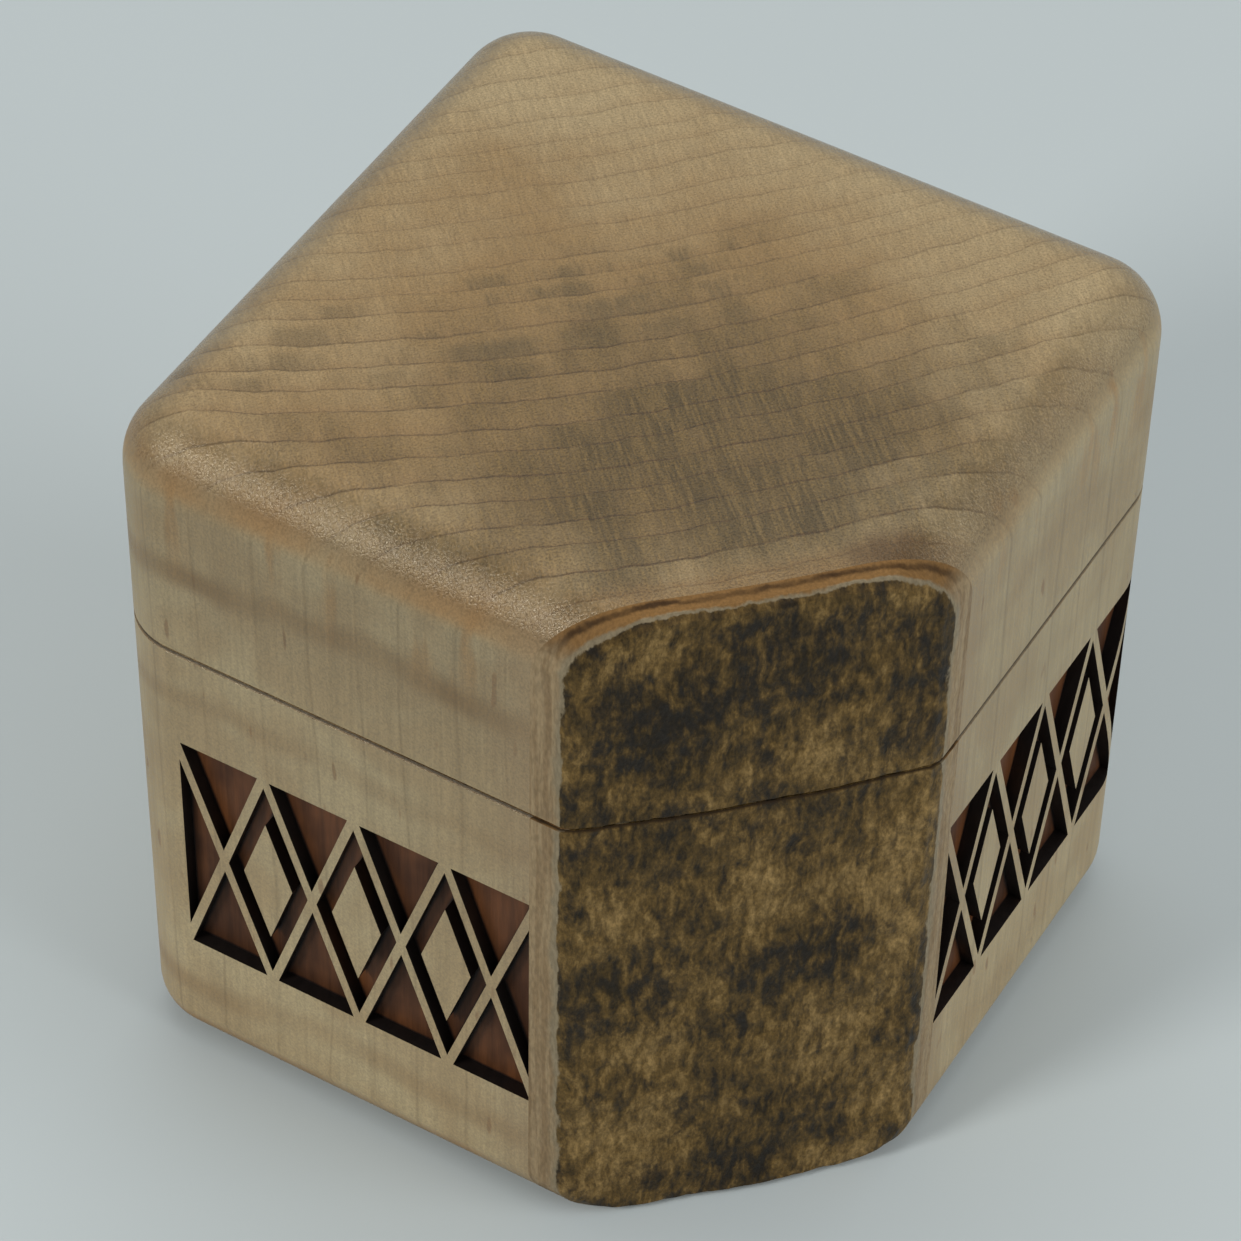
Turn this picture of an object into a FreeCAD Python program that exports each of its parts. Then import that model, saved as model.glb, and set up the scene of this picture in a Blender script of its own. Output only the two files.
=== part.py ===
import FreeCAD, Part
import math
import os

# A small puzzle box sawn from one wedge of a maple log. The front corner keeps its natural bark.
# The lid swivels on a hidden rod near the back corner. Two leaning gravity pins lock it.
# All sizes in mm. X runs left to right, Y from the bark to the back corner, Z up.

# Block
block_left = 60.0
block_right = 63.0
block_height = 70.0
bark_width = 28.0
log_radius = 170.0
bark_thickness = 2.1
corner_round_left = 6.1
corner_round_back = 6.3
corner_round_right = 6.1
top_round = 6.0
bottom_round = 4.2
bark_ease = 0.6

# Seam between base and lid
seam_height = 48.0
seam_gap = 0.2
seam_ease = 0.2

# Carved bands on both front sides
band_teeth = 4
band_height = 25.0
band_middle = 25.5
band_bark_gap = 0.5
band_corner_gap = 3.1
band_ridge = 0.8
lozenge_groove = 1.4
chip_depth = 1.2

# Drilled cavity
cavity_radius = 20.0
cavity_floor = 9.0
cavity_centre_left = 29.0
cavity_centre_right = 30.5
lid_recess_depth = 11.0
mouth_ease = 0.6
drill_point_radius = 2.0
drill_point_depth = 1.2

# Pivot
pivot_inset = 10.0
rod_radius = 3.0
rod_depth_in_lid = 14.0
bush_radius = 4.0
bush_length = 16.0
washer_radius = 4.7
washer_thickness = 1.0
screw_radius = 1.5
screw_length = 8.0
screw_head_radius = 2.8
screw_head_height = 2.0
screw_slot_width = 0.8
screw_slot_depth = 0.8
counterbore_radius = 5.0
counterbore_depth = 9.0
plug_thickness = 4.0

# Leaning gravity pins
pin_lean_degrees = 12.0
pin_inset = 8.5
pin_radius = 2.0
pin_head_radius = 2.8
pin_head_length = 3.0
pin_travel = 8.0
pin_tip_recess = 0.9
pin_nose = 0.5
collar_radius = 3.5
collar_length = 5.0
keyhole_depth = 9.0

# Magnets
magnet_radius = 2.5
magnet_thickness = 3.0
magnet_sunk = 0.2

# Clearances
running = 0.08
glue = 0.05
pin_bore = 0.2
end_play = 0.3
sweep = 0.15
overcut = 1.0

diagonal = math.sqrt(0.5)
lean = math.radians(pin_lean_degrees)
base_top = seam_height - seam_gap / 2
lid_floor = seam_height + seam_gap / 2
up = FreeCAD.Vector(0, 0, 1)

# The origin is the middle of the block's footprint. Corner rounding pulls the corners in.
corner_pull = math.sqrt(2) - 1
bark_reach = (block_left + block_right) * diagonal - bark_width / 2
x_left = -block_left * diagonal + corner_round_left * corner_pull
x_right = block_right * diagonal - corner_round_right * corner_pull
y_back = -corner_round_back * corner_pull
y_front = -bark_reach
x_middle = (x_left + x_right) / 2
y_middle = (y_back + y_front) / 2


def place(along_left, along_right, z):
    x = (along_right - along_left) * diagonal - x_middle
    y = -(along_left + along_right) * diagonal - y_middle
    return FreeCAD.Vector(x, y, z)


def rod(radius, start, length, direction=up):
    return Part.makeCylinder(radius, length, start, direction)


def slab(low, high):
    reach = block_left + block_right
    corner = FreeCAD.Vector(-reach, -reach, low)
    return Part.makeBox(2 * reach, 2 * reach, high - low, corner)


def edges_at(shape, height):
    found = []
    for edge in shape.Edges:
        box = edge.BoundBox
        if abs(box.ZMin - height) < 1e-4 and abs(box.ZMax - height) < 1e-4:
            found.append(edge)
    return found


def save(shape, name):
    solid = shape.removeSplitter()
    if len(solid.Solids) == 1:
        solid = solid.Solids[0]
    solid.exportStep("parts/" + name + ".step")


os.makedirs("parts", exist_ok=True)

# Block: a square-sawn prism whose front corner is the round of the log
footprint = [
    place(0, 0, 0),
    place(block_left, 0, 0),
    place(block_left, block_right, 0),
    place(0, block_right, 0),
]
outline = Part.makePolygon(footprint + [footprint[0]])
prism = Part.Face(outline).extrude(up * block_height)
bark_middle = (block_right - block_left) * diagonal - x_middle
log_centre_y = y_front - y_middle + log_radius
log_centre = FreeCAD.Vector(bark_middle, log_centre_y, -overcut)
log = rod(log_radius, log_centre, block_height + 2 * overcut)
heartwood = rod(log_radius - bark_thickness, log_centre, block_height + 2 * overcut)
block = prism.common(log)


def upright_edge(shape, point):
    for edge in shape.Edges:
        box = edge.BoundBox
        level = abs(box.XMax - box.XMin) + abs(box.YMax - box.YMin)
        if level < 1e-4 and math.hypot(box.XMin - point.x, box.YMin - point.y) < 1e-3:
            return edge


block = block.makeFillet(corner_round_back, [upright_edge(block, place(0, 0, 0))])
block = block.makeFillet(corner_round_left, [upright_edge(block, place(block_left, 0, 0))])
block = block.makeFillet(corner_round_right, [upright_edge(block, place(0, block_right, 0))])


def sawn_edges(shape, height):
    found = []
    for edge in edges_at(shape, height):
        middle = edge.valueAt((edge.FirstParameter + edge.LastParameter) / 2)
        if math.hypot(middle.x - bark_middle, middle.y - log_centre_y) < log_radius - 0.01:
            found.append(edge)
    return found


block = block.makeFillet(top_round, sawn_edges(block, block_height))
block = block.makeFillet(bottom_round, sawn_edges(block, 0))


def bark_border(shape):
    for face in shape.Faces:
        middle = face.CenterOfMass
        if abs(middle.x - bark_middle) < block_left / 4 and middle.y < y_front - y_middle + bark_thickness:
            return face.OuterWire.Edges


block = block.makeChamfer(bark_ease, bark_border(block))

base = block.common(slab(-overcut, base_top))
base = base.makeChamfer(seam_ease, edges_at(base, base_top))
lid = block.common(slab(lid_floor, block_height + overcut))
lid = lid.makeChamfer(seam_ease, edges_at(lid, lid_floor))

base_bark = base.cut(heartwood)
lid_bark = lid.cut(heartwood)
base_block = base.common(heartwood)
lid_block = lid.common(heartwood)

# Carved bands: a row of lozenges between two rows of triangles, all sunk and parted by thin ridges.
# Each whole lozenge is a groove round an island that stands at the old surface.
bark_end = bark_width * diagonal + bark_thickness / diagonal + band_bark_gap
band_width = block_left - bark_end - band_corner_gap
tooth = band_width / band_teeth
band_low = band_middle - band_height / 2
band_high = band_middle + band_height / 2


def left_side(along, z):
    return place(block_left, block_right - bark_end - along, z)


def right_side(along, z):
    return place(block_left - bark_end - along, block_right, z)


def chip(side, inward, corners, groove):
    points = [side(along, z) - inward * overcut for along, z in corners]
    border = Part.makePolygon(points + [points[0]])
    sunk = Part.Face(border.makeOffset2D(-band_ridge / 2, 2))
    if groove:
        sunk = sunk.cut(Part.Face(border.makeOffset2D(-band_ridge / 2 - groove, 2)))
    return sunk.extrude(inward * (chip_depth + overcut))


def carved_band(side, inward):
    chips = []
    for i in range(band_teeth):
        start, middle, stop = i * tooth, (i + 0.5) * tooth, (i + 1) * tooth
        for edge in (band_low, band_high):
            triangle = [(start, edge), (stop, edge), (middle, band_middle)]
            chips.append(chip(side, inward, triangle, 0))
    for i in range(1, band_teeth):
        before, middle, after = (i - 0.5) * tooth, i * tooth, (i + 0.5) * tooth
        lozenge = [(middle, band_low), (after, band_middle), (middle, band_high), (before, band_middle)]
        chips.append(chip(side, inward, lozenge, lozenge_groove))
    for end, inside in ((0, tooth / 2), (band_width, band_width - tooth / 2)):
        half = [(end, band_low), (inside, band_middle), (end, band_high)]
        chips.append(chip(side, inward, half, 0))
    return Part.makeCompound(chips)


base_block = base_block.cut(carved_band(left_side, FreeCAD.Vector(diagonal, diagonal, 0)))
base_block = base_block.cut(carved_band(right_side, FreeCAD.Vector(-diagonal, diagonal, 0)))

# Drilled cavity, shared by base and lid
cavity_floor_centre = place(cavity_centre_left, cavity_centre_right, cavity_floor)
cavity_top = place(cavity_centre_left, cavity_centre_right, base_top - mouth_ease)
cavity = rod(cavity_radius, cavity_floor_centre, base_top - cavity_floor + overcut)
cavity_mouth = Part.makeCone(cavity_radius, cavity_radius + mouth_ease, mouth_ease, cavity_top)
drill_point = Part.makeCone(
    0.2, drill_point_radius, drill_point_depth, cavity_floor_centre - up * drill_point_depth
)
recess_centre = place(cavity_centre_left, cavity_centre_right, lid_floor)
recess = rod(cavity_radius, recess_centre - up * overcut, lid_recess_depth + overcut)
recess_mouth = Part.makeCone(cavity_radius + mouth_ease, cavity_radius, mouth_ease, recess_centre)
lid_drill_point = Part.makeCone(
    drill_point_radius, 0.2, drill_point_depth, recess_centre + up * lid_recess_depth
)
base_block = base_block.cut(Part.makeCompound([cavity, cavity_mouth, drill_point]))
lid_block = lid_block.cut(Part.makeCompound([recess, recess_mouth, lid_drill_point]))

# Pivot: rod glued in the lid, turning in a bush in the base, held from below by screw and washer
pivot_foot = place(pivot_inset, pivot_inset, 0)
washer_top = counterbore_depth - sweep
washer_low = washer_top - washer_thickness
rod_top = lid_floor + rod_depth_in_lid
bush_low = base_top - bush_length
thread_depth = screw_length - washer_thickness
pivot_rod = rod(rod_radius, pivot_foot + up * washer_top, rod_top - washer_top)
pivot_rod = pivot_rod.cut(
    rod(screw_radius + glue, pivot_foot + up * (washer_top - overcut), thread_depth + overcut + end_play)
)
pivot_bush = rod(bush_radius, pivot_foot + up * bush_low, bush_length)
pivot_bush = pivot_bush.cut(
    rod(rod_radius + running, pivot_foot + up * (bush_low - overcut), bush_length + 2 * overcut)
)
pivot_washer = rod(washer_radius, pivot_foot + up * washer_low, washer_thickness)
pivot_washer = pivot_washer.cut(
    rod(screw_radius + running, pivot_foot + up * (washer_low - overcut), washer_thickness + 2 * overcut)
)
pivot_screw = rod(screw_radius, pivot_foot + up * washer_low, screw_length)
screw_head = rod(screw_head_radius, pivot_foot + up * (washer_low - screw_head_height), screw_head_height)
slot_corner = FreeCAD.Vector(-screw_head_radius, -screw_slot_width / 2, -screw_slot_depth)
screw_slot = Part.makeBox(2 * screw_head_radius, screw_slot_width, 2 * screw_slot_depth, slot_corner)
screw_slot.translate(pivot_foot + up * (washer_low - screw_head_height))
pivot_screw = pivot_screw.fuse(screw_head).cut(screw_slot)
pivot_plug = rod(counterbore_radius - glue, pivot_foot, plug_thickness)
base_block = base_block.cut(rod(counterbore_radius, pivot_foot - up * overcut, counterbore_depth + overcut))
base_block = base_block.cut(rod(rod_radius + end_play, pivot_foot, base_top))
base_block = base_block.cut(rod(bush_radius + glue, pivot_foot + up * bush_low, bush_length + overcut))
lid_block = lid_block.cut(
    rod(rod_radius + glue, pivot_foot + up * (lid_floor - overcut), rod_depth_in_lid + overcut + glue)
)

# Gravity pins: the left one lives in the lid, the right one in the base
head_seat = collar_length + pin_travel
chamber_depth = head_seat + pin_head_length + end_play


def gravity_pin(mouth, out):
    tip = mouth - out * pin_tip_recess
    shank = rod(pin_radius, mouth - out * head_seat, head_seat - pin_tip_recess - pin_nose, out)
    nose = Part.makeCone(pin_radius, pin_radius - pin_nose, pin_nose, tip - out * pin_nose, out)
    head = rod(pin_head_radius, mouth - out * (head_seat + pin_head_length), pin_head_length, out)
    return shank.fuse([nose, head])


def pin_collar(mouth, out):
    tube = rod(collar_radius, mouth - out * collar_length, collar_length + overcut, out)
    bore = rod(pin_radius + pin_bore, mouth - out * (collar_length + overcut), collar_length + 3 * overcut, out)
    return tube.cut(bore)


def pin_chamber(mouth, out):
    chamber = rod(pin_head_radius + pin_bore, mouth - out * chamber_depth, chamber_depth, out)
    seat = rod(collar_radius + glue, mouth - out * collar_length, collar_length + 2 * overcut, out)
    return chamber.fuse(seat)


def keyhole(mouth, out):
    return rod(pin_radius + pin_bore, mouth - out * overcut, keyhole_depth + overcut, out)


left_out = FreeCAD.Vector(math.sin(lean), 0, -math.cos(lean))
left_mouth = place(block_left - pin_inset, pin_inset, lid_floor)
left_lock_point = left_mouth + left_out * (seam_gap / math.cos(lean))
left_pin = gravity_pin(left_mouth, left_out)
left_pin_collar = pin_collar(left_mouth, left_out).common(slab(lid_floor + glue, block_height))
lid_block = lid_block.cut(pin_chamber(left_mouth, left_out))
base_block = base_block.cut(keyhole(left_lock_point, left_out))

right_out = FreeCAD.Vector(math.sin(lean), 0, math.cos(lean))
right_mouth = place(pin_inset, block_right - pin_inset, base_top)
right_lock_point = right_mouth + right_out * (seam_gap / math.cos(lean))
right_pin = gravity_pin(right_mouth, right_out)
right_pin_collar = pin_collar(right_mouth, right_out).common(slab(0, base_top - glue))
base_block = base_block.cut(pin_chamber(right_mouth, right_out))
lid_block = lid_block.cut(keyhole(right_lock_point, right_out))

# Magnets that snap the lid into line, in the thick wall behind the bark
cavity_front = cavity_floor_centre.y - cavity_radius
bark_back = y_front - y_middle + bark_thickness
magnet_spot = FreeCAD.Vector(cavity_floor_centre.x, (cavity_front + bark_back) / 2, 0)
base_magnet_foot = magnet_spot + up * (base_top - magnet_sunk - magnet_thickness)
lid_magnet_foot = magnet_spot + up * (lid_floor + magnet_sunk)
base_magnet = rod(magnet_radius, base_magnet_foot, magnet_thickness)
lid_magnet = rod(magnet_radius, lid_magnet_foot, magnet_thickness)
base_block = base_block.cut(rod(magnet_radius + glue, base_magnet_foot, magnet_thickness + overcut))
lid_block = lid_block.cut(
    rod(magnet_radius + glue, lid_magnet_foot - up * overcut, magnet_thickness + overcut)
)

save(base_block, "base_block")
save(base_bark, "base_bark")
save(lid_block, "lid_block")
save(lid_bark, "lid_bark")
save(pivot_rod, "pivot_rod")
save(pivot_bush, "pivot_bush")
save(pivot_washer, "pivot_washer")
save(pivot_screw, "pivot_screw")
save(pivot_plug, "pivot_plug")
save(left_pin, "left_pin")
save(left_pin_collar, "left_pin_collar")
save(right_pin, "right_pin")
save(right_pin_collar, "right_pin_collar")
save(base_magnet, "base_magnet")
save(lid_magnet, "lid_magnet")
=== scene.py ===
import math

import bmesh
import bpy
from mathutils import Matrix, Vector, noise


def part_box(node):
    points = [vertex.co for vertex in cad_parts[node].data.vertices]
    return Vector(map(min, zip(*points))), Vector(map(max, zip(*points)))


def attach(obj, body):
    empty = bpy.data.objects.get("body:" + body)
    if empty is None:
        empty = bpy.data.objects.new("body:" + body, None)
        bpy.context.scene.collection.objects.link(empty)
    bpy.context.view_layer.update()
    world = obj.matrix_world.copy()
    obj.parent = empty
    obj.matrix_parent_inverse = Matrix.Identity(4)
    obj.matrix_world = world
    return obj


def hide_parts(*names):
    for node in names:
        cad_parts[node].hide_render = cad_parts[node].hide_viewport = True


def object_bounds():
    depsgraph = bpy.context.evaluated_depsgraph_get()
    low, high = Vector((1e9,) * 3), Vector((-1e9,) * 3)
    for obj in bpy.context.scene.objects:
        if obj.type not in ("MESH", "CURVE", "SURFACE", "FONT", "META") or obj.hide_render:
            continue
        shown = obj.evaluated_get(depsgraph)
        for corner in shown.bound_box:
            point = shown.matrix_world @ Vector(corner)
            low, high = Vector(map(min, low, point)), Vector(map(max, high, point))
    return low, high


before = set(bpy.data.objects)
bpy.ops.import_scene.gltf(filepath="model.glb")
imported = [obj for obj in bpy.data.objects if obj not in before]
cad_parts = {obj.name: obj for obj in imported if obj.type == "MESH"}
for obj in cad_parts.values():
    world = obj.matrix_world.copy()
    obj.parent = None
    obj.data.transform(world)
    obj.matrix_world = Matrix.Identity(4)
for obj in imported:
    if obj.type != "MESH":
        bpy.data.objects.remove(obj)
cad_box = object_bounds()

# Base block: the lower two thirds of a wedge of spalted maple, sawn square at the back and sides.
# A round well is drilled into it from above, and bores for the pivot and the pins stand round the well.
# Both front sides carry a chip-carved band, cut with a knife and then scorched and stained dark brown.
MM = 0.001
diagonal = math.sqrt(0.5)
toward_left = Vector((-diagonal, -diagonal, 0))
toward_right = Vector((diagonal, -diagonal, 0))
base_points = [vert.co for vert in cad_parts["base_block"].data.vertices]
left_face = max(point.dot(toward_left) for point in base_points)
right_face = max(point.dot(toward_right) for point in base_points)
back_left_face = min(point.dot(toward_right) for point in base_points)
back_right_face = min(point.dot(toward_left) for point in base_points)
seam_height = (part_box("base_block")[1][2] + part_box("lid_block")[0][2]) / 2
log_radius = 170 * MM
bark_low, bark_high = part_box("base_bark")
log_axis = Vector(((bark_low[0] + bark_high[0]) / 2, bark_low[1] + log_radius, 0))
LOG_MIDDLE = tuple(log_axis / MM)
ROUND_THE_LOG = (1, 1, 0)


def put(tree, kind, options=None, **feeds):
    """A new node with its inputs fed by name or, as i0, i1 and so on, by number."""
    made = tree.nodes.new(kind)
    for name, value in (options or {}).items():
        setattr(made, name, value)
    for name, value in feeds.items():
        key = int(name[1:]) if name[0] == "i" and name[1:].isdigit() else name
        socket = made.inputs[key]
        if isinstance(value, bpy.types.NodeSocket):
            tree.links.new(value, socket)
        else:
            socket.default_value = value
    return made


def sum_up(tree, operation, first, second=0.0, third=0.0):
    return put(tree, "ShaderNodeMath", {"operation": operation}, i0=first, i1=second, i2=third).outputs[0]


def times(tree, first, second):
    return sum_up(tree, "MULTIPLY", first, second)


def swing(tree, waver, amount, about):
    """Adds a noise's swing to either side of its middle to another value."""
    return sum_up(tree, "MULTIPLY_ADD", sum_up(tree, "SUBTRACT", waver, 0.5), amount, about)


def fade(tree, value, start, stop, low=0.0, high=1.0):
    ramp = put(
        tree, "ShaderNodeMapRange", {"interpolation_type": "SMOOTHSTEP"},
        i0=value, i1=start, i2=stop, i3=low, i4=high,
    )
    return ramp.outputs[0]


def hump(tree, value, rise, top, fall, foot):
    """A mask that fades in and out again as the value grows."""
    return times(tree, fade(tree, value, rise, top), fade(tree, value, fall, foot, 1.0, 0.0))


def reckon(tree, operation, first, second):
    return put(tree, "ShaderNodeVectorMath", {"operation": operation}, i0=first, i1=second).outputs[0]


def scaled(tree, colour, amount):
    return put(tree, "ShaderNodeVectorMath", {"operation": "SCALE"}, i0=colour, Scale=amount).outputs[0]


def parts_of(tree, vector):
    parts = put(tree, "ShaderNodeSeparateXYZ", None, Vector=vector).outputs
    return parts["X"], parts["Y"], parts["Z"]


def reach_from(tree, place, middle, spread):
    """How far a place lies from a middle, each axis measured by its own spread."""
    offset = reckon(tree, "MULTIPLY", reckon(tree, "SUBTRACT", place, middle), spread)
    return put(tree, "ShaderNodeVectorMath", {"operation": "LENGTH"}, i0=offset).outputs["Value"]


def stretched_noise(tree, place, pace, detail=2.0, roughness=0.5, distortion=0.0):
    grain = put(
        tree, "ShaderNodeTexNoise", None, Vector=reckon(tree, "MULTIPLY", place, pace), Scale=1.0,
        Detail=detail, Roughness=roughness, Distortion=distortion,
    )
    return grain.outputs["Fac"]


def blend(tree, amount, first, second):
    return put(tree, "ShaderNodeMix", {"data_type": "RGBA"}, i0=amount, i6=first, i7=second).outputs[2]


def new_group(name, **outputs):
    """An empty shader group that takes a place in millimetres and the way the surface faces."""
    group = bpy.data.node_groups.new(name, "ShaderNodeTree")
    for taken in ("Place", "Facing"):
        group.interface.new_socket(taken, in_out="INPUT", socket_type="NodeSocketVector")
    for given, kind in outputs.items():
        group.interface.new_socket(given, in_out="OUTPUT", socket_type=kind)
    source = group.nodes.new("NodeGroupInput").outputs
    return group, source["Place"], source["Facing"]


def give(group, **values):
    result = group.nodes.new("NodeGroupOutput")
    for name, value in values.items():
        group.links.new(value, result.inputs[name])


RING_WIDTH = 2.6
RING_WANDER = 2.6
RING_RIPPLE = 0.9
RING_BROWN = (0.060, 0.029, 0.010, 1)
LATE_BROWN = (0.225, 0.125, 0.050, 1)
END_CREAM = (0.368, 0.270, 0.141, 1)
END_WARM = (0.255, 0.155, 0.060, 1)
WARM_MIDDLE = (-4, -8, 0)
WARM_SPREAD = (1 / 34, 1 / 28, 0)
SPALT_GREY = (0.078, 0.047, 0.013, 1)
SPALT_MIDDLE = (0.5, -22, 0)
SPALT_SPREAD = (1 / 31, 1 / 24, 0)
FLECK_BROWN = (0.088, 0.058, 0.024, 1)
SIDE_CREAM = (0.334, 0.258, 0.143, 1)
SIDE_TAN = (0.292, 0.211, 0.110, 1)
CURL_BROWN = (0.185, 0.108, 0.043, 1)
CURL_BANDS = ((58.0, 2.3, 1.0), (43.5, 1.9, 0.5), (8, 2.2, 0.65))
CURL_SWAY = 9.0
NICK_RED = (0.17, 0.085, 0.035, 1)
SLANT_ORANGE = (0.30, 0.165, 0.060, 1)
CAMBIUM_PINK = (0.255, 0.172, 0.090, 1)
BARK_ORANGE = (0.225, 0.122, 0.043, 1)
SWIRL_BROWN = (0.080, 0.038, 0.011, 1)
SWIRL_MIDDLE = (12, -32.2, 0)
SWIRL_SPREAD = (1 / 5, 1 / 3, 0)


def ring_blocks(group, x, year, z, along, across, detail, roughness=0.5):
    """Noise in blocks, even across one year's growth and changing along it and from ring to ring."""
    upright = 0.02
    block = put(
        group, "ShaderNodeCombineXYZ", None,
        X=times(group, x, along), Y=times(group, year, across), Z=times(group, z, upright),
    )
    blocks = put(
        group, "ShaderNodeTexNoise", None, Vector=block.outputs[0], Scale=1.0,
        Detail=detail, Roughness=roughness,
    )
    return blocks.outputs["Fac"]


def maple_grain():
    """Maple by its place in the log: rings and spalting on end grain, fibres and curl on the sides."""
    group, place, facing = new_group(
        "maple grain", Colour="NodeSocketColor", Roughness="NodeSocketFloat", Height="NodeSocketFloat",
    )
    x, y, z = parts_of(group, place)
    slope = sum_up(group, "ABSOLUTE", parts_of(group, facing)[2])
    end_grain = fade(group, slope, 0.3, 0.85)

    # Growth rings round the log's axis, a little wavy and uneven in width, fainter at the back and right
    wander = stretched_noise(group, place, (0.045, 0.045, 0.012), detail=2.0)
    ripple = stretched_noise(group, place, (0.3, 0.15, 0.03), detail=3.0)
    radius = reach_from(group, place, LOG_MIDDLE, ROUND_THE_LOG)
    under_bark = sum_up(group, "SUBTRACT", log_radius / MM, radius)
    radius = sum_up(group, "MULTIPLY_ADD", wander, RING_WANDER, radius)
    radius = sum_up(group, "MULTIPLY_ADD", ripple, RING_RIPPLE, radius)
    pace = put(group, "ShaderNodeTexNoise", {"noise_dimensions": "1D"}, W=radius, Scale=0.2, Detail=0.0)
    ring = sum_up(group, "DIVIDE", radius, RING_WIDTH)
    ring = sum_up(group, "MULTIPLY_ADD", pace.outputs["Fac"], 0.45, ring)
    phase = sum_up(group, "FRACT", ring)
    year = sum_up(group, "FLOOR", ring)
    late = hump(group, phase, 0.5, 0.92, 0.93, 1.0)
    line = hump(group, phase, 0.9, 0.955, 0.955, 1.0)
    gaps = stretched_noise(group, place, (0.35, 0.3, 0.02), detail=3.0)
    line = times(group, line, fade(group, gaps, 0.3, 0.55, 0.4, 1.0))
    strength = times(group, fade(group, y, -12, 14, 1.0, 0.45), fade(group, x, 6, 26, 1.0, 0.6))

    # Rays run across the rings; grain is the fine salt and pepper of cut pores
    rays = stretched_noise(group, place, (2.8, 0.2, 0.07), detail=4.0, roughness=0.65)
    hairs = stretched_noise(group, place, (5.5, 0.6, 0.2), detail=2.0)
    grain = stretched_noise(group, place, (5.0, 5.0, 4.0), detail=2.0, roughness=0.7)

    # End grain: cream tan at the edges, warmer inside, a little darker in the late wood of each ring
    cloud = stretched_noise(group, place, (0.06, 0.06, 0.03), detail=4.0, roughness=0.6)
    inside = reach_from(group, place, WARM_MIDDLE, WARM_SPREAD)
    warmth = sum_up(group, "SUBTRACT", times(group, cloud, 1.6), inside)
    tan = blend(group, fade(group, warmth, -0.5, 0.45), END_CREAM, END_WARM)
    tan = blend(group, times(group, times(group, late, 0.32), strength), tan, LATE_BROWN)

    # Spalting: grey-brown clouds in blocks between rays and rings, thickest towards the bark
    away = reach_from(group, place, SPALT_MIDDLE, SPALT_SPREAD)
    blocks = ring_blocks(group, x, year, z, 0.22, 1.7, detail=3.0, roughness=0.6)
    wisps = stretched_noise(group, place, (0.14, 0.09, 0.03), detail=5.0, roughness=0.65)
    stain = swing(group, blocks, 1.2, 1.12)
    stain = swing(group, wisps, 1.3, stain)
    stain = swing(group, rays, 1.3, stain)
    spalt = fade(group, sum_up(group, "SUBTRACT", stain, away), -0.1, 1.0)
    end = blend(group, times(group, spalt, 0.86), tan, SPALT_GREY)

    # Flecks: short brown smudges between two ring lines, in a belt across the middle
    belt = times(group, hump(group, y, -9, -4, 2, 7), fade(group, x, 10, 17, 1.0, 0.0))
    belt = times(group, belt, fade(group, x, -30, -8, 0.7, 1.0))
    flecks = ring_blocks(group, x, year, z, 0.3, 2.3, detail=2.0)
    flecks = swing(group, rays, 0.9, flecks)
    flecks = swing(group, wisps, 0.9, flecks)
    flecks = times(group, fade(group, flecks, 0.44, 0.72), belt)
    flecks = times(group, flecks, fade(group, phase, 0.1, 0.5))
    end = blend(group, times(group, flecks, 0.62), end, FLECK_BROWN)

    # Ring lines are darkest in the spalt, where rays weave light streaks across them
    drawn = times(group, line, fade(group, spalt, 0.0, 1.0, 0.68, 1.0))
    end = blend(group, times(group, drawn, strength), end, RING_BROWN)
    streak = times(group, fade(group, rays, 0.25, 0.75, 0.9, 1.1), fade(group, hairs, 0.3, 0.7, 0.91, 1.1))
    woven = times(group, fade(group, rays, 0.4, 0.6, -0.28, 0.28), spalt)
    end = scaled(group, end, sum_up(group, "MULTIPLY_ADD", streak, woven, streak))

    # Side grain: cream with upright fibres, soft curl bands across and short reddish nicks
    fibre = stretched_noise(group, place, (2.4, 2.4, 0.08), detail=4.0, roughness=0.6)
    sway = stretched_noise(group, place, (0.05, 0.05, 0.02), detail=3.0)
    level = sum_up(group, "MULTIPLY_ADD", sway, CURL_SWAY, z)
    curl = None
    for height, width, depth in CURL_BANDS:
        off = sum_up(group, "ABSOLUTE", sum_up(group, "SUBTRACT", level, height + CURL_SWAY / 2))
        band = fade(group, off, 0.2, width, depth, 0.0)
        curl = band if curl is None else sum_up(group, "MAXIMUM", curl, band)
    patches = stretched_noise(group, place, (0.09, 0.09, 0.05))
    curl = times(group, curl, fade(group, patches, 0.3, 0.6, 0.45, 1.0))
    curl = times(group, curl, fade(group, x, 0, 18, 1.0, 0.2))
    shimmer = stretched_noise(group, place, (0.12, 0.12, 0.10), detail=3.0, distortion=0.3)
    cream = blend(group, fade(group, shimmer, 0.38, 0.62), SIDE_CREAM, SIDE_TAN)
    cream = blend(group, times(group, curl, 0.8), cream, CURL_BROWN)
    nick = fade(group, stretched_noise(group, place, (0.85, 0.85, 0.2), detail=1.0), 0.71, 0.77)
    cream = blend(group, times(group, nick, 0.6), cream, NICK_RED)
    drip = fade(group, stretched_noise(group, place, (0.4, 0.4, 0.06)), 0.55, 0.68)
    cream = blend(group, times(group, drip, fade(group, z, 54, 66, 0.0, 0.7)), cream, SLANT_ORANGE)
    cream = blend(group, times(group, line, 0.22), cream, RING_BROWN)

    # The fibres vary the sides' tone; painted light makes the sides paler at the foot, and painted shade
    # makes the lid's left side a little darker
    tone = times(group, fade(group, fibre, 0.25, 0.75, 0.9, 1.09), fade(group, z, 4, 44, 1.22, 1.0))
    shade = times(group, fade(group, z, 46, 58), fade(group, x, 0, 12, 0.15, 0.0))
    cream = scaled(group, cream, times(group, tone, sum_up(group, "SUBTRACT", 1.0, shade)))

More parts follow.
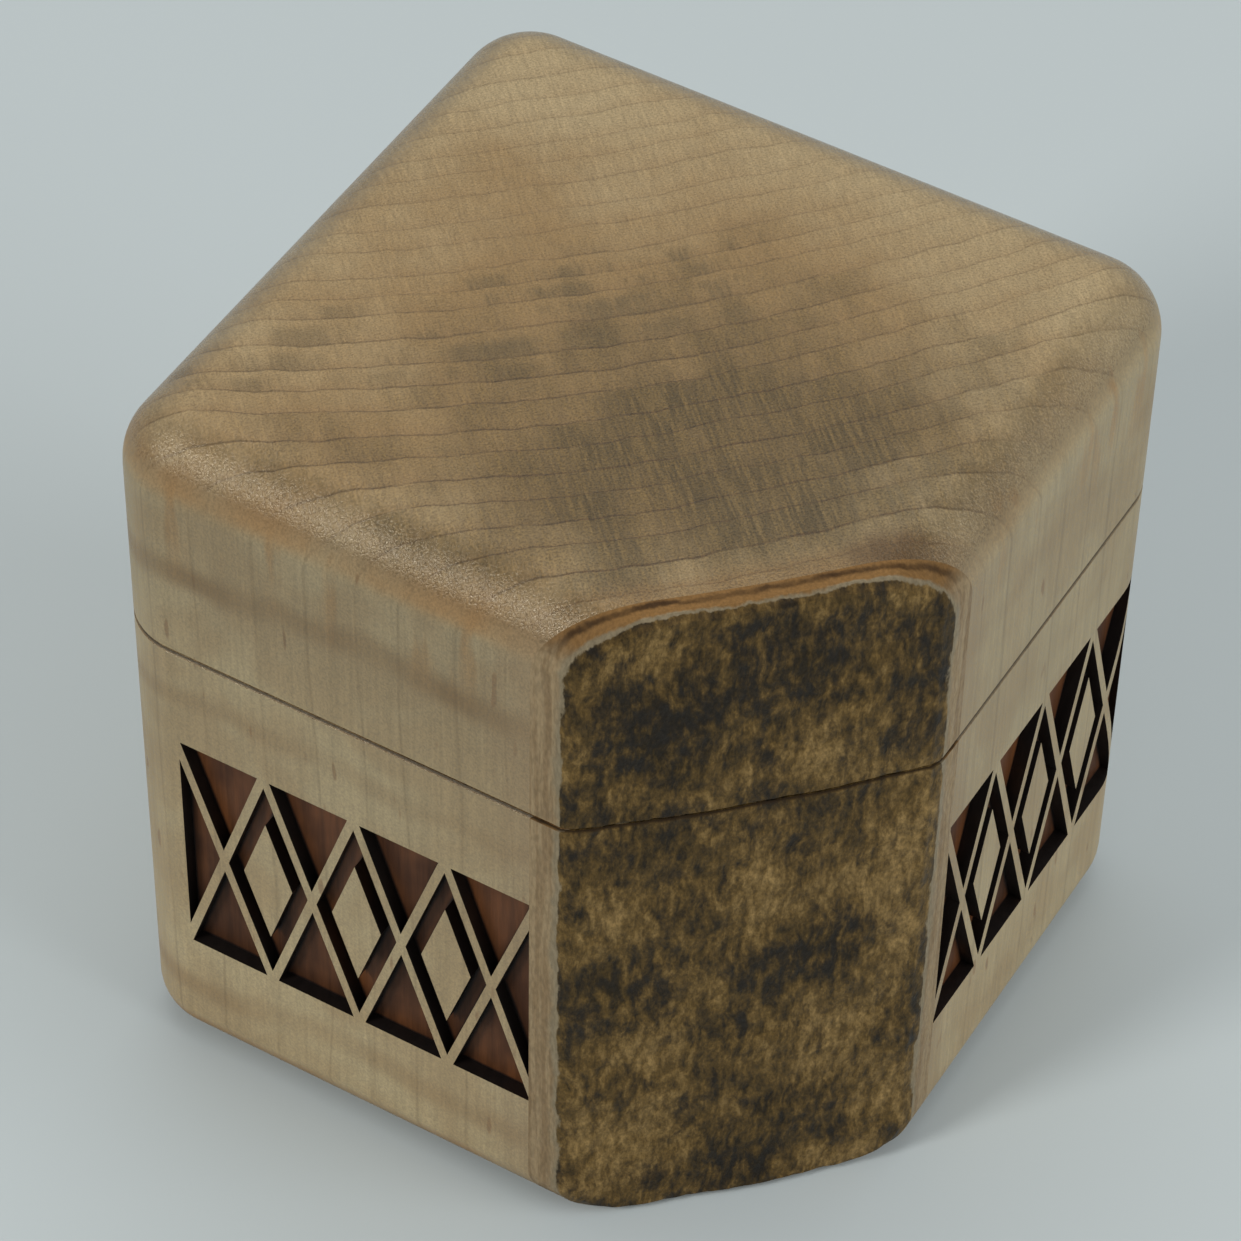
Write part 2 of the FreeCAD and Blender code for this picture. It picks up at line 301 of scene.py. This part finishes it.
    # Rounded edges glow orange where fibres are cut at a slant; wood next to the bark is pinkish brown
    colour = blend(group, end_grain, cream, end)
    slant = hump(group, slope, 0.08, 0.35, 0.45, 0.9)
    slant = times(group, slant, fade(group, cloud, 0.35, 0.65, 0.2, 0.9))
    slant = times(group, slant, fade(group, x, -5, 18, 1.0, 0.4))
    colour = blend(group, slant, colour, SLANT_ORANGE)
    near_bark = fade(group, swing(group, fibre, 3.0, under_bark), 1.8, 5.4, 0.6, 0.0)
    colour = blend(group, near_bark, colour, blend(group, end_grain, CAMBIUM_PINK, BARK_ORANGE))

    # A small dark swirl where the rings meet the right end of the bark
    swirl = reach_from(group, place, SWIRL_MIDDLE, SWIRL_SPREAD)
    swirl = swing(group, wisps, 1.5, swirl)
    swirl = swing(group, rays, 0.8, swirl)
    swirl = times(group, end_grain, fade(group, swirl, 0.1, 1.05, 0.85, 0.0))
    colour = blend(group, swirl, colour, SWIRL_BROWN)

    # Cut pores pepper the colour and the relief, and the oiled roundings gleam
    peppered = sum_up(group, "MULTIPLY_ADD", end_grain, times(group, spalt, 0.25), 0.2)
    pepper = sum_up(group, "MULTIPLY_ADD", fade(group, grain, 0.25, 0.75, -1.0, 1.0), peppered, 1.0)
    gleam = hump(group, slope, 0.3, 0.6, 0.94, 0.995)
    colour = scaled(group, scaled(group, colour, pepper), fade(group, gleam, 0.0, 1.0, 1.0, 0.92))
    dull = sum_up(group, "MULTIPLY_ADD", end_grain, -0.14, fade(group, grain, 0.3, 0.7, 0.34, 0.56))
    dull = sum_up(group, "MULTIPLY_ADD", gleam, -0.22, dull)
    relief = times(group, grain, fade(group, end_grain, 0.0, 0.5, 0.25, 1.0))
    relief = sum_up(group, "MULTIPLY_ADD", fibre, 0.4, relief)
    give(group, Colour=colour, Roughness=dull, Height=relief)
    return group


def seam_dust_and_shade():
    """A mask of the eased lips of the seam, which dust and shadow have darkened."""
    group, place, facing = new_group("seam dust and shade", Dust="NodeSocketFloat")
    z = parts_of(group, place)[2]
    slope = sum_up(group, "ABSOLUTE", parts_of(group, facing)[2])
    lip = sum_up(group, "ABSOLUTE", sum_up(group, "SUBTRACT", z, seam_height / MM))
    lip = fade(group, lip, 0.15, 0.32, 0.92, 0.2)
    give(group, Dust=times(group, lip, hump(group, slope, 0.2, 0.5, 0.85, 0.97)))
    return group


OIL_TINT = (1.0, 0.90, 0.70, 1)
SEAM_DUST_AND_SHADE = (0.022, 0.013, 0.007, 1)
DUST_DULLNESS = 0.5


def new_material(name):
    material = bpy.data.materials.new(name)
    material.use_nodes = True
    tree = material.node_tree
    return material, tree, tree.nodes["Principled BSDF"].inputs


def use_group(tree, group, place, facing):
    used = tree.nodes.new("ShaderNodeGroup")
    used.node_tree = group
    tree.links.new(place, used.inputs["Place"])
    tree.links.new(facing, used.inputs["Facing"])
    return used.outputs


def grown_material(name, group, bump, reach, gloss, shift=(0, 0, 0), turn=0.0):
    """Wood or bark, coloured by its place in the log, and darkened at the seam by dust and painted shade.
    """
    material, tree, shader = new_material(name)
    shader["Specular IOR Level"].default_value = gloss
    shader["Specular Tint"].default_value = OIL_TINT
    surface = tree.nodes.new("ShaderNodeTexCoord").outputs
    place = put(
        tree, "ShaderNodeMapping", None, Vector=surface["Object"],
        Location=shift, Rotation=(0, turn, 0), Scale=(1 / MM, 1 / MM, 1 / MM),
    ).outputs[0]
    grain = use_group(tree, group, place, surface["Normal"])
    dust_and_shade = use_group(tree, dust_and_shade_group, place, surface["Normal"])["Dust"]
    # Painted shade: the seam's eased lips are blended toward a dark brown, partly for dust and partly as
    # painted shadow
    tree.links.new(blend(tree, dust_and_shade, grain["Colour"], SEAM_DUST_AND_SHADE), shader["Base Color"])
    dulled = sum_up(tree, "MULTIPLY_ADD", dust_and_shade, DUST_DULLNESS, grain["Roughness"])
    tree.links.new(dulled, shader["Roughness"])
    relief = put(tree, "ShaderNodeBump", None, Strength=bump, Distance=reach, Height=grain["Height"])
    tree.links.new(relief.outputs[0], shader["Normal"])
    return material


wood_relief = 0.08 * MM
maple_group = maple_grain()
dust_and_shade_group = seam_dust_and_shade()
maple = grown_material("oiled maple", maple_group, bump=1.0, reach=wood_relief, gloss=0.7)

CHIP_BROWN = (0.115, 0.041, 0.0135, 1)
CHIP_DARK = (0.058, 0.021, 0.008, 1)
CHIP_BLACK = (0.008, 0.005, 0.004, 1)


def scorched_and_shaded_chips():
    """Stain, scorch and painted shade: reddish brown in the middle of a chip, black along the foot of its
    walls, partly scorch and partly painted shade.
    """
    material, tree, shader = new_material("scorched and shaded chip carving")
    shader["Specular IOR Level"].default_value = 0.2
    place = tree.nodes.new("ShaderNodeTexCoord").outputs["Object"]
    fibre = stretched_noise(tree, place, (1400, 1400, 90), detail=4.0, roughness=0.65)
    blotch = stretched_noise(tree, place, (180, 180, 110), detail=3.0)
    # Painted shade: the mark along the foot of the walls blackens them, partly as scorch and partly as
    # painted shade
    scorch_and_shade = put(tree, "ShaderNodeAttribute", {"attribute_name": "scorch_and_shade"}).outputs["Fac"]
    scorch_and_shade = swing(tree, blotch, 0.7, scorch_and_shade)
    brown = blend(tree, fade(tree, blotch, 0.35, 0.65), CHIP_BROWN, CHIP_DARK)
    stain = blend(tree, fade(tree, scorch_and_shade, 0.25, 1.0), brown, CHIP_BLACK)
    stain = scaled(tree, stain, fade(tree, fibre, 0.3, 0.7, 0.75, 1.25))
    tree.links.new(stain, shader["Base Color"])
    tree.links.new(fade(tree, blotch, 0.3, 0.7, 0.42, 0.6), shader["Roughness"])
    relief = put(tree, "ShaderNodeBump", None, Strength=0.3, Distance=wood_relief, Height=fibre)
    tree.links.new(relief.outputs[0], shader["Normal"])
    return material


weld_reach = 0.002 * MM


def own_copy(node, name):
    """A new piece with the node's shape, its seams joined up, ready to be worked on."""
    mesh = bmesh.new()
    mesh.from_mesh(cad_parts[node].data)
    bmesh.ops.remove_doubles(mesh, verts=mesh.verts, dist=weld_reach)
    data = bpy.data.meshes.new(name)
    mesh.to_mesh(data)
    mesh.free()
    piece = bpy.data.objects.new(name, data)
    bpy.context.scene.collection.objects.link(piece)
    return piece


def soften(piece, crisp_angle):
    """Smooth shading that stays crisp at every edge sharper than the angle."""
    mesh = bmesh.new()
    mesh.from_mesh(piece.data)
    for edge in mesh.edges:
        edge.smooth = edge.calc_face_angle(0.0) < math.radians(crisp_angle)
    for face in mesh.faces:
        face.smooth = True
    mesh.to_mesh(piece.data)
    mesh.free()
    piece.data.attributes.remove(piece.data.attributes["custom_normal"])
    even = piece.modifiers.new("even_normals", "WEIGHTED_NORMAL")
    even.weight = 100
    even.keep_sharp = True


band_height = 25.0 * MM
band_middle = 25.5 * MM
band_corner_gap = 3.1 * MM
chip_depth = 1.2 * MM
chip_tolerance = 0.05 * MM
chip_rim = 0.02 * MM
chip_scorch_and_shade = 0.5 * MM
flat_on = 0.99
edge_on = 0.2


def scorch_and_shade_chips(piece):
    """Gives the sunk faces of both bands the scorched stain, blackest along the foot of their walls, where
    the black is partly scorch and partly painted shade.
    """
    mesh = bmesh.new()
    mesh.from_mesh(piece.data)
    floors, walls = [], []
    for face in mesh.faces:
        centre = face.calc_center_median()
        if abs(centre.z - band_middle) > band_height / 2:
            continue
        for outward, reach, along, corner in (
            (toward_left, left_face, toward_right, back_left_face),
            (toward_right, right_face, toward_left, back_right_face),
        ):
            depth = reach - centre.dot(outward)
            turned = face.normal.dot(outward)
            inside_band = centre.dot(along) - corner > band_corner_gap
            if abs(depth - chip_depth) < chip_tolerance and turned > flat_on:
                floors.append(face)
            elif inside_band and chip_rim < depth < chip_depth and abs(turned) < edge_on:
                walls.append(face)
    for face in floors + walls:
        face.material_index = 1
    # Painted shade: vertices round the inset middle of each floor get 1, blackening the foot of the walls
    # as scorch and painted shade
    scorch_and_shade = mesh.verts.layers.float.new("scorch_and_shade")
    bmesh.ops.inset_region(mesh, faces=floors, thickness=chip_scorch_and_shade, use_boundary=True, use_even_offset=True)
    middles = {vert for face in floors for vert in face.verts}
    for vert in mesh.verts:
        vert[scorch_and_shade] = 0.0 if vert in middles else 1.0
    for face in mesh.faces:
        if any(vert in middles for vert in face.verts):
            face.material_index = 1
    mesh.to_mesh(piece.data)
    mesh.free()


block_crisp_angle = 25
carved_base = own_copy("base_block", "carved_base")
carved_base.data.materials.append(maple)
carved_base.data.materials.append(scorched_and_shaded_chips())
scorch_and_shade_chips(carved_base)
soften(carved_base, block_crisp_angle)
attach(carved_base, "base")
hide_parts("base_block")

# Bark of the base: the outside of the log left on the front corner, thin young maple bark.
# Its face is uneven and mottled; its sawn edges show a pale outer layer and a brown inner one.
BARK_BLACK = (0.014, 0.0115, 0.010, 1)
BARK_TONES = (
    (0.22, (0.020, 0.013, 0.006, 1)),
    (0.38, (0.060, 0.0368, 0.012, 1)),
    (0.55, (0.118, 0.0705, 0.0215, 1)),
    (0.84, (0.262, 0.167, 0.062, 1)),
)
BARK_PALE = (0.235, 0.186, 0.115, 1)
INNER_CREAM = (0.295, 0.212, 0.118, 1)
INNER_BARK = (0.225, 0.152, 0.080, 1)
END_ORANGE = (0.215, 0.112, 0.037, 1)
END_DARK = (0.040, 0.018, 0.006, 1)
BARK_BEND = 1.7


def bark_layers():
    """Bark by its depth: mottled skin, a pale cork layer, brown inner bark, a dark line by the wood."""
    group, place, facing = new_group(
        "bark layers", Colour="NodeSocketColor", Roughness="NodeSocketFloat", Height="NodeSocketFloat",
    )
    z = parts_of(group, place)[2]
    end_grain = fade(group, sum_up(group, "ABSOLUTE", parts_of(group, facing)[2]), 0.3, 0.65)

    # The skin is olive tan, feathered with soft upright strokes and smudged black, darkest near the top
    eddies = reckon(group, "MULTIPLY", place, (0.3, 0.3, 0.2))
    bend = put(group, "ShaderNodeTexNoise", None, Vector=eddies, Scale=1.0, Detail=3.0).outputs["Color"]
    bend = scaled(group, reckon(group, "SUBTRACT", bend, (0.5, 0.5, 0.5)), BARK_BEND)
    bent = reckon(group, "ADD", place, bend)
    strokes = stretched_noise(group, bent, (1.3, 0.8, 0.45), detail=5.0, roughness=0.6)
    clouds = stretched_noise(group, bent, (0.13, 0.1, 0.11), detail=3.0, roughness=0.55)
    blots = stretched_noise(group, bent, (0.42, 0.3, 0.27), detail=6.0, roughness=0.66)
    near_top = times(group, fade(group, z, 50, 60, 0.0, 0.09), fade(group, z, 64, 69, 1.0, 0.3))
    clouds = sum_up(group, "ADD", clouds, near_top)
    tone = swing(group, strokes, 1.2, 0.5)
    tone = swing(group, clouds, -1.1, tone)
    tan = put(group, "ShaderNodeValToRGB", None, Fac=tone)
    marks = tan.color_ramp.elements
    marks[0].position, marks[0].color = BARK_TONES[0]
    marks[1].position, marks[1].color = BARK_TONES[-1]
    for position, colour in BARK_TONES[1:-1]:
        marks.new(position).color = colour
    black = sum_up(group, "MULTIPLY_ADD", clouds, 0.8, times(group, blots, 1.3))
    black = swing(group, strokes, -0.6, black)
    skin = blend(group, fade(group, black, 1.0, 1.4, 0.0, 0.92), tan.outputs[0], BARK_BLACK)
    crumbs = stretched_noise(group, place, (3.5, 3.5, 2.2), detail=3.0, roughness=0.65)
    skin = scaled(group, skin, fade(group, crumbs, 0.3, 0.7, 0.68, 1.28))

    # Under the skin the layers follow the depth in the log, with frayed and torn bounds
    radius = reach_from(group, place, LOG_MIDDLE, ROUND_THE_LOG)
    fray = stretched_noise(group, place, (0.7, 0.7, 0.3), detail=5.0, roughness=0.65)
    depth = swing(group, fray, 0.7, sum_up(group, "SUBTRACT", log_radius / MM, radius))
    patch = stretched_noise(group, place, (0.22, 0.22, 0.22), detail=4.0, roughness=0.6)
    torn = swing(group, patch, 1.2, depth)
    fibre = stretched_noise(group, place, (2.0, 2.0, 0.1), detail=3.0)
    inner = blend(group, fade(group, fibre, 0.38, 0.62), INNER_CREAM, INNER_BARK)
    side = blend(group, fade(group, torn, 0.5, 0.95), BARK_PALE, inner)
    end = blend(group, fade(group, torn, 0.45, 0.7), BARK_PALE, END_ORANGE)
    dark_line = times(group, fade(group, torn, 1.1, 1.45), fade(group, torn, 1.6, 2.0, 1.0, 0.1))
    dark_line = times(group, dark_line, fade(group, patch, 0.35, 0.6, 0.95, 0.45))
    end = blend(group, dark_line, end, END_DARK)
    pores = stretched_noise(group, place, (4.0, 4.0, 1.2), detail=2.0)
    edge = blend(group, end_grain, side, end)
    edge = scaled(group, edge, fade(group, pores, 0.3, 0.7, 0.85, 1.12))

    colour = blend(group, fade(group, depth, 0.36, 0.46), skin, edge)
    give(group, Colour=colour, Roughness=fade(group, strokes, 0.3, 0.7, 0.38, 0.6), Height=tone)
    return group


bark_grid = 0.45 * MM
bark_loose_depth = 0.8 * MM
bark_swell = 0.22 * MM
bark_swell_pace = 0.16
bark_crumb = 0.10 * MM
bark_crumb_pace = 0.9
bark_crumb_rise = 0.55
bark_crumb_layer = 7.0
bark_crisp_angle = 40


def rough_bark(node, name):
    """The bark strip cut into a fine grid, so that its outer face can swell and crumble a little."""
    piece = own_copy(node, name)
    mesh = bmesh.new()
    mesh.from_mesh(piece.data)
    low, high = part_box(node)
    for axis in (0, 2):
        count = int((high[axis] - low[axis]) / bark_grid)
        normal = Vector((axis == 0, 0, axis == 2))
        for i in range(1, count):
            level = normal * (low[axis] + (high[axis] - low[axis]) * i / count)
            everything = mesh.verts[:] + mesh.edges[:] + mesh.faces[:]
            bmesh.ops.bisect_plane(mesh, geom=everything, plane_co=level, plane_no=normal)
    for vert in mesh.verts:
        out = Vector((vert.co.x - log_axis.x, vert.co.y - log_axis.y, 0))
        depth = log_radius - out.length
        share = max(0.0, 1 - depth / bark_loose_depth)
        spot = Vector((vert.co.x, 0, vert.co.z)) / MM
        swell = noise.noise(spot * bark_swell_pace) * bark_swell
        crumb_spot = Vector((spot.x * bark_crumb_pace, bark_crumb_layer, spot.z * bark_crumb_rise))
        crumb = noise.noise(crumb_spot) * bark_crumb
        vert.co += out.normalized() * (swell + crumb) * share
    mesh.to_mesh(piece.data)
    mesh.free()
    soften(piece, bark_crisp_angle)
    return piece


bark_relief = 0.25 * MM
bark = grown_material("maple bark", bark_layers(), bump=0.6, reach=bark_relief, gloss=0.14)
base_bark = rough_bark("base_bark", "rough_base_bark")
base_bark.data.materials.append(bark)
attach(base_bark, "base")
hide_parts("base_bark")

# Lid block: the upper third of the same wedge, so the rings and fibres run on across the seam.
# Its top is end grain with well rounded edges; a shallow recess continues the well of the base.
smooth_lid = own_copy("lid_block", "smooth_lid")
smooth_lid.data.materials.append(maple)
soften(smooth_lid, block_crisp_angle)
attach(smooth_lid, "lid")
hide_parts("lid_block")

# Bark of the lid: the same young maple bark, carried up to the sawn and rounded top.
# It grew on the lid's block and is parted from the base's bark only by the saw cut of the seam.
lid_bark = rough_bark("lid_bark", "rough_lid_bark")
lid_bark.data.materials.append(bark)
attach(lid_bark, "lid")
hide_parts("lid_bark")

# Pivot: a brass rod glued in the lid turns in a brass bush in the base, near the back corner.
# A slotted steel screw and a brass washer hold it from below, and a maple plug hides them.
BRASS_BRIGHT = (0.72, 0.50, 0.19, 1)
BRASS_DULL = (0.50, 0.33, 0.13, 1)
STEEL_BRIGHT = (0.56, 0.56, 0.55, 1)
STEEL_DULL = (0.42, 0.42, 0.41, 1)
lathe_relief = 0.02 * MM


def turned_metal(name, bright, dull, polish):
    """Metal with fine marks of the lathe, smeared duller in patches by handling."""
    material, tree, shader = new_material(name)
    shader["Metallic"].default_value = 1.0
    place = tree.nodes.new("ShaderNodeTexCoord").outputs["Object"]
    lathe = stretched_noise(tree, place, (300, 300, 9000), detail=2.0)
    smear = stretched_noise(tree, place, (350, 350, 350), detail=3.0)
    tree.links.new(blend(tree, fade(tree, smear, 0.4, 0.7), bright, dull), shader["Base Color"])
    tree.links.new(sum_up(tree, "MULTIPLY_ADD", smear, 0.25, polish), shader["Roughness"])
    relief = put(tree, "ShaderNodeBump", None, Strength=0.15, Distance=lathe_relief, Height=lathe)
    tree.links.new(relief.outputs[0], shader["Normal"])
    return material


def refinish(node, material):
    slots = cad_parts[node].data.materials
    slots.clear()
    slots.append(material)


brass = turned_metal("turned brass", BRASS_BRIGHT, BRASS_DULL, polish=0.16)
steel = turned_metal("ground steel", STEEL_BRIGHT, STEEL_DULL, polish=0.18)
plug_maple = grown_material(
    "maple plug", maple_group, bump=0.3, reach=wood_relief, gloss=0.35, shift=(17, 5, 9), turn=math.pi / 2,
)
for node in ("pivot_rod", "pivot_bush", "pivot_washer"):
    refinish(node, brass)
refinish("pivot_screw", steel)
refinish("pivot_plug", plug_maple)

# Locking pins: headed steel pins that slide in leaning bores, one in the lid and one in the base.
# A brass collar pressed into each bore's mouth stops the head, so the pin cannot drop out.
for hand in ("left", "right"):
    refinish(hand + "_pin", steel)
    refinish(hand + "_pin_collar", brass)

# Magnets: a nickel-plated disc sunk in the front wall of the base and another in the lid above it.
# They are pressed in flush with the seam and pull the lid into line when it swings shut.
NICKEL_BRIGHT = (0.63, 0.61, 0.57, 1)
NICKEL_DULL = (0.50, 0.48, 0.44, 1)
nickel = turned_metal("nickel plate", NICKEL_BRIGHT, NICKEL_DULL, polish=0.1)
for node in ("base_magnet", "lid_magnet"):
    refinish(node, nickel)

# Stage: a wide sheet of plain pale paper for a floor, under an even sky.
# A soft window stands on the left and two larger soft panels at the right and above.
# A long lens looks down on the bark from the front.
PAPER_GREY = (0.505, 0.55, 0.55, 1)
floor_reach = 3
floor_drop = 0.2 * MM
floor_corners = [(-floor_reach, -floor_reach, 0), (floor_reach, -floor_reach, 0)]
floor_corners += [(floor_reach, floor_reach, 0), (-floor_reach, floor_reach, 0)]
floor_mesh = bpy.data.meshes.new("floor")
floor_mesh.from_pydata(floor_corners, [], [(0, 1, 2, 3)])
floor = bpy.data.objects.new("floor", floor_mesh)
bpy.context.scene.collection.objects.link(floor)
floor.location.z = -floor_drop
paper, paper_tree, paper_shader = new_material("pale paper")
paper_shader["Base Color"].default_value = PAPER_GREY
paper_shader["Roughness"].default_value = 0.9
floor_mesh.materials.append(paper)

SKY_WHITE = (0.93, 0.97, 1.0, 1)
sky_strength = 0.45
world = bpy.data.worlds.new("soft sky")
world.use_nodes = True
sky = world.node_tree.nodes["Background"].inputs
sky["Color"].default_value = SKY_WHITE
sky["Strength"].default_value = sky_strength
bpy.context.scene.world = world

WINDOW_WHITE = (1.0, 0.99, 0.97)
PANEL_WHITE = (0.97, 0.99, 1.0)
object_middle = (Vector(cad_box[0]) + Vector(cad_box[1])) / 2


def soft_lamp(name, place, size, power, colour):
    """A round soft lamp turned to the middle of the box."""
    lamp = bpy.data.lights.new(name, "AREA")
    lamp.shape = "DISK"
    lamp.size = size
    lamp.energy = power
    lamp.color = colour
    holder = bpy.data.objects.new(name, lamp)
    bpy.context.scene.collection.objects.link(holder)
    holder.location = place
    holder.rotation_euler = (object_middle - Vector(place)).to_track_quat("-Z", "Y").to_euler()


soft_lamp("window", (-0.76, -0.27, 0.62), size=0.28, power=4.0, colour=WINDOW_WHITE)
soft_lamp("right_panel", (0.70, -0.60, 0.62), size=0.8, power=5.0, colour=PANEL_WHITE)
soft_lamp("sky_panel", (0.1, 0.3, 0.95), size=0.8, power=2.0, colour=PANEL_WHITE)

camera_place = (-0.07823, -0.28665, 0.34533)
camera_azimuth, camera_elevation, camera_roll = -0.2653, 0.8111, 0.0217
camera_data = bpy.data.cameras.new("camera")
camera_data.lens = 152.0
camera_data.sensor_width = 36.0
camera = bpy.data.objects.new("camera", camera_data)
bpy.context.scene.collection.objects.link(camera)
back = Vector((
    math.sin(camera_azimuth) * math.cos(camera_elevation),
    -math.cos(camera_azimuth) * math.cos(camera_elevation),
    math.sin(camera_elevation),
))
across = Vector((0, 0, 1)).cross(back).normalized()
above = back.cross(across)
rolled_across = across * math.cos(camera_roll) + above * math.sin(camera_roll)
rolled_above = above * math.cos(camera_roll) - across * math.sin(camera_roll)
camera_axes = Matrix((rolled_across, rolled_above, back)).transposed().to_4x4()
camera.matrix_world = Matrix.Translation(camera_place) @ camera_axes
bpy.context.scene.camera = camera
bpy.context.scene.view_settings.view_transform = "Standard"
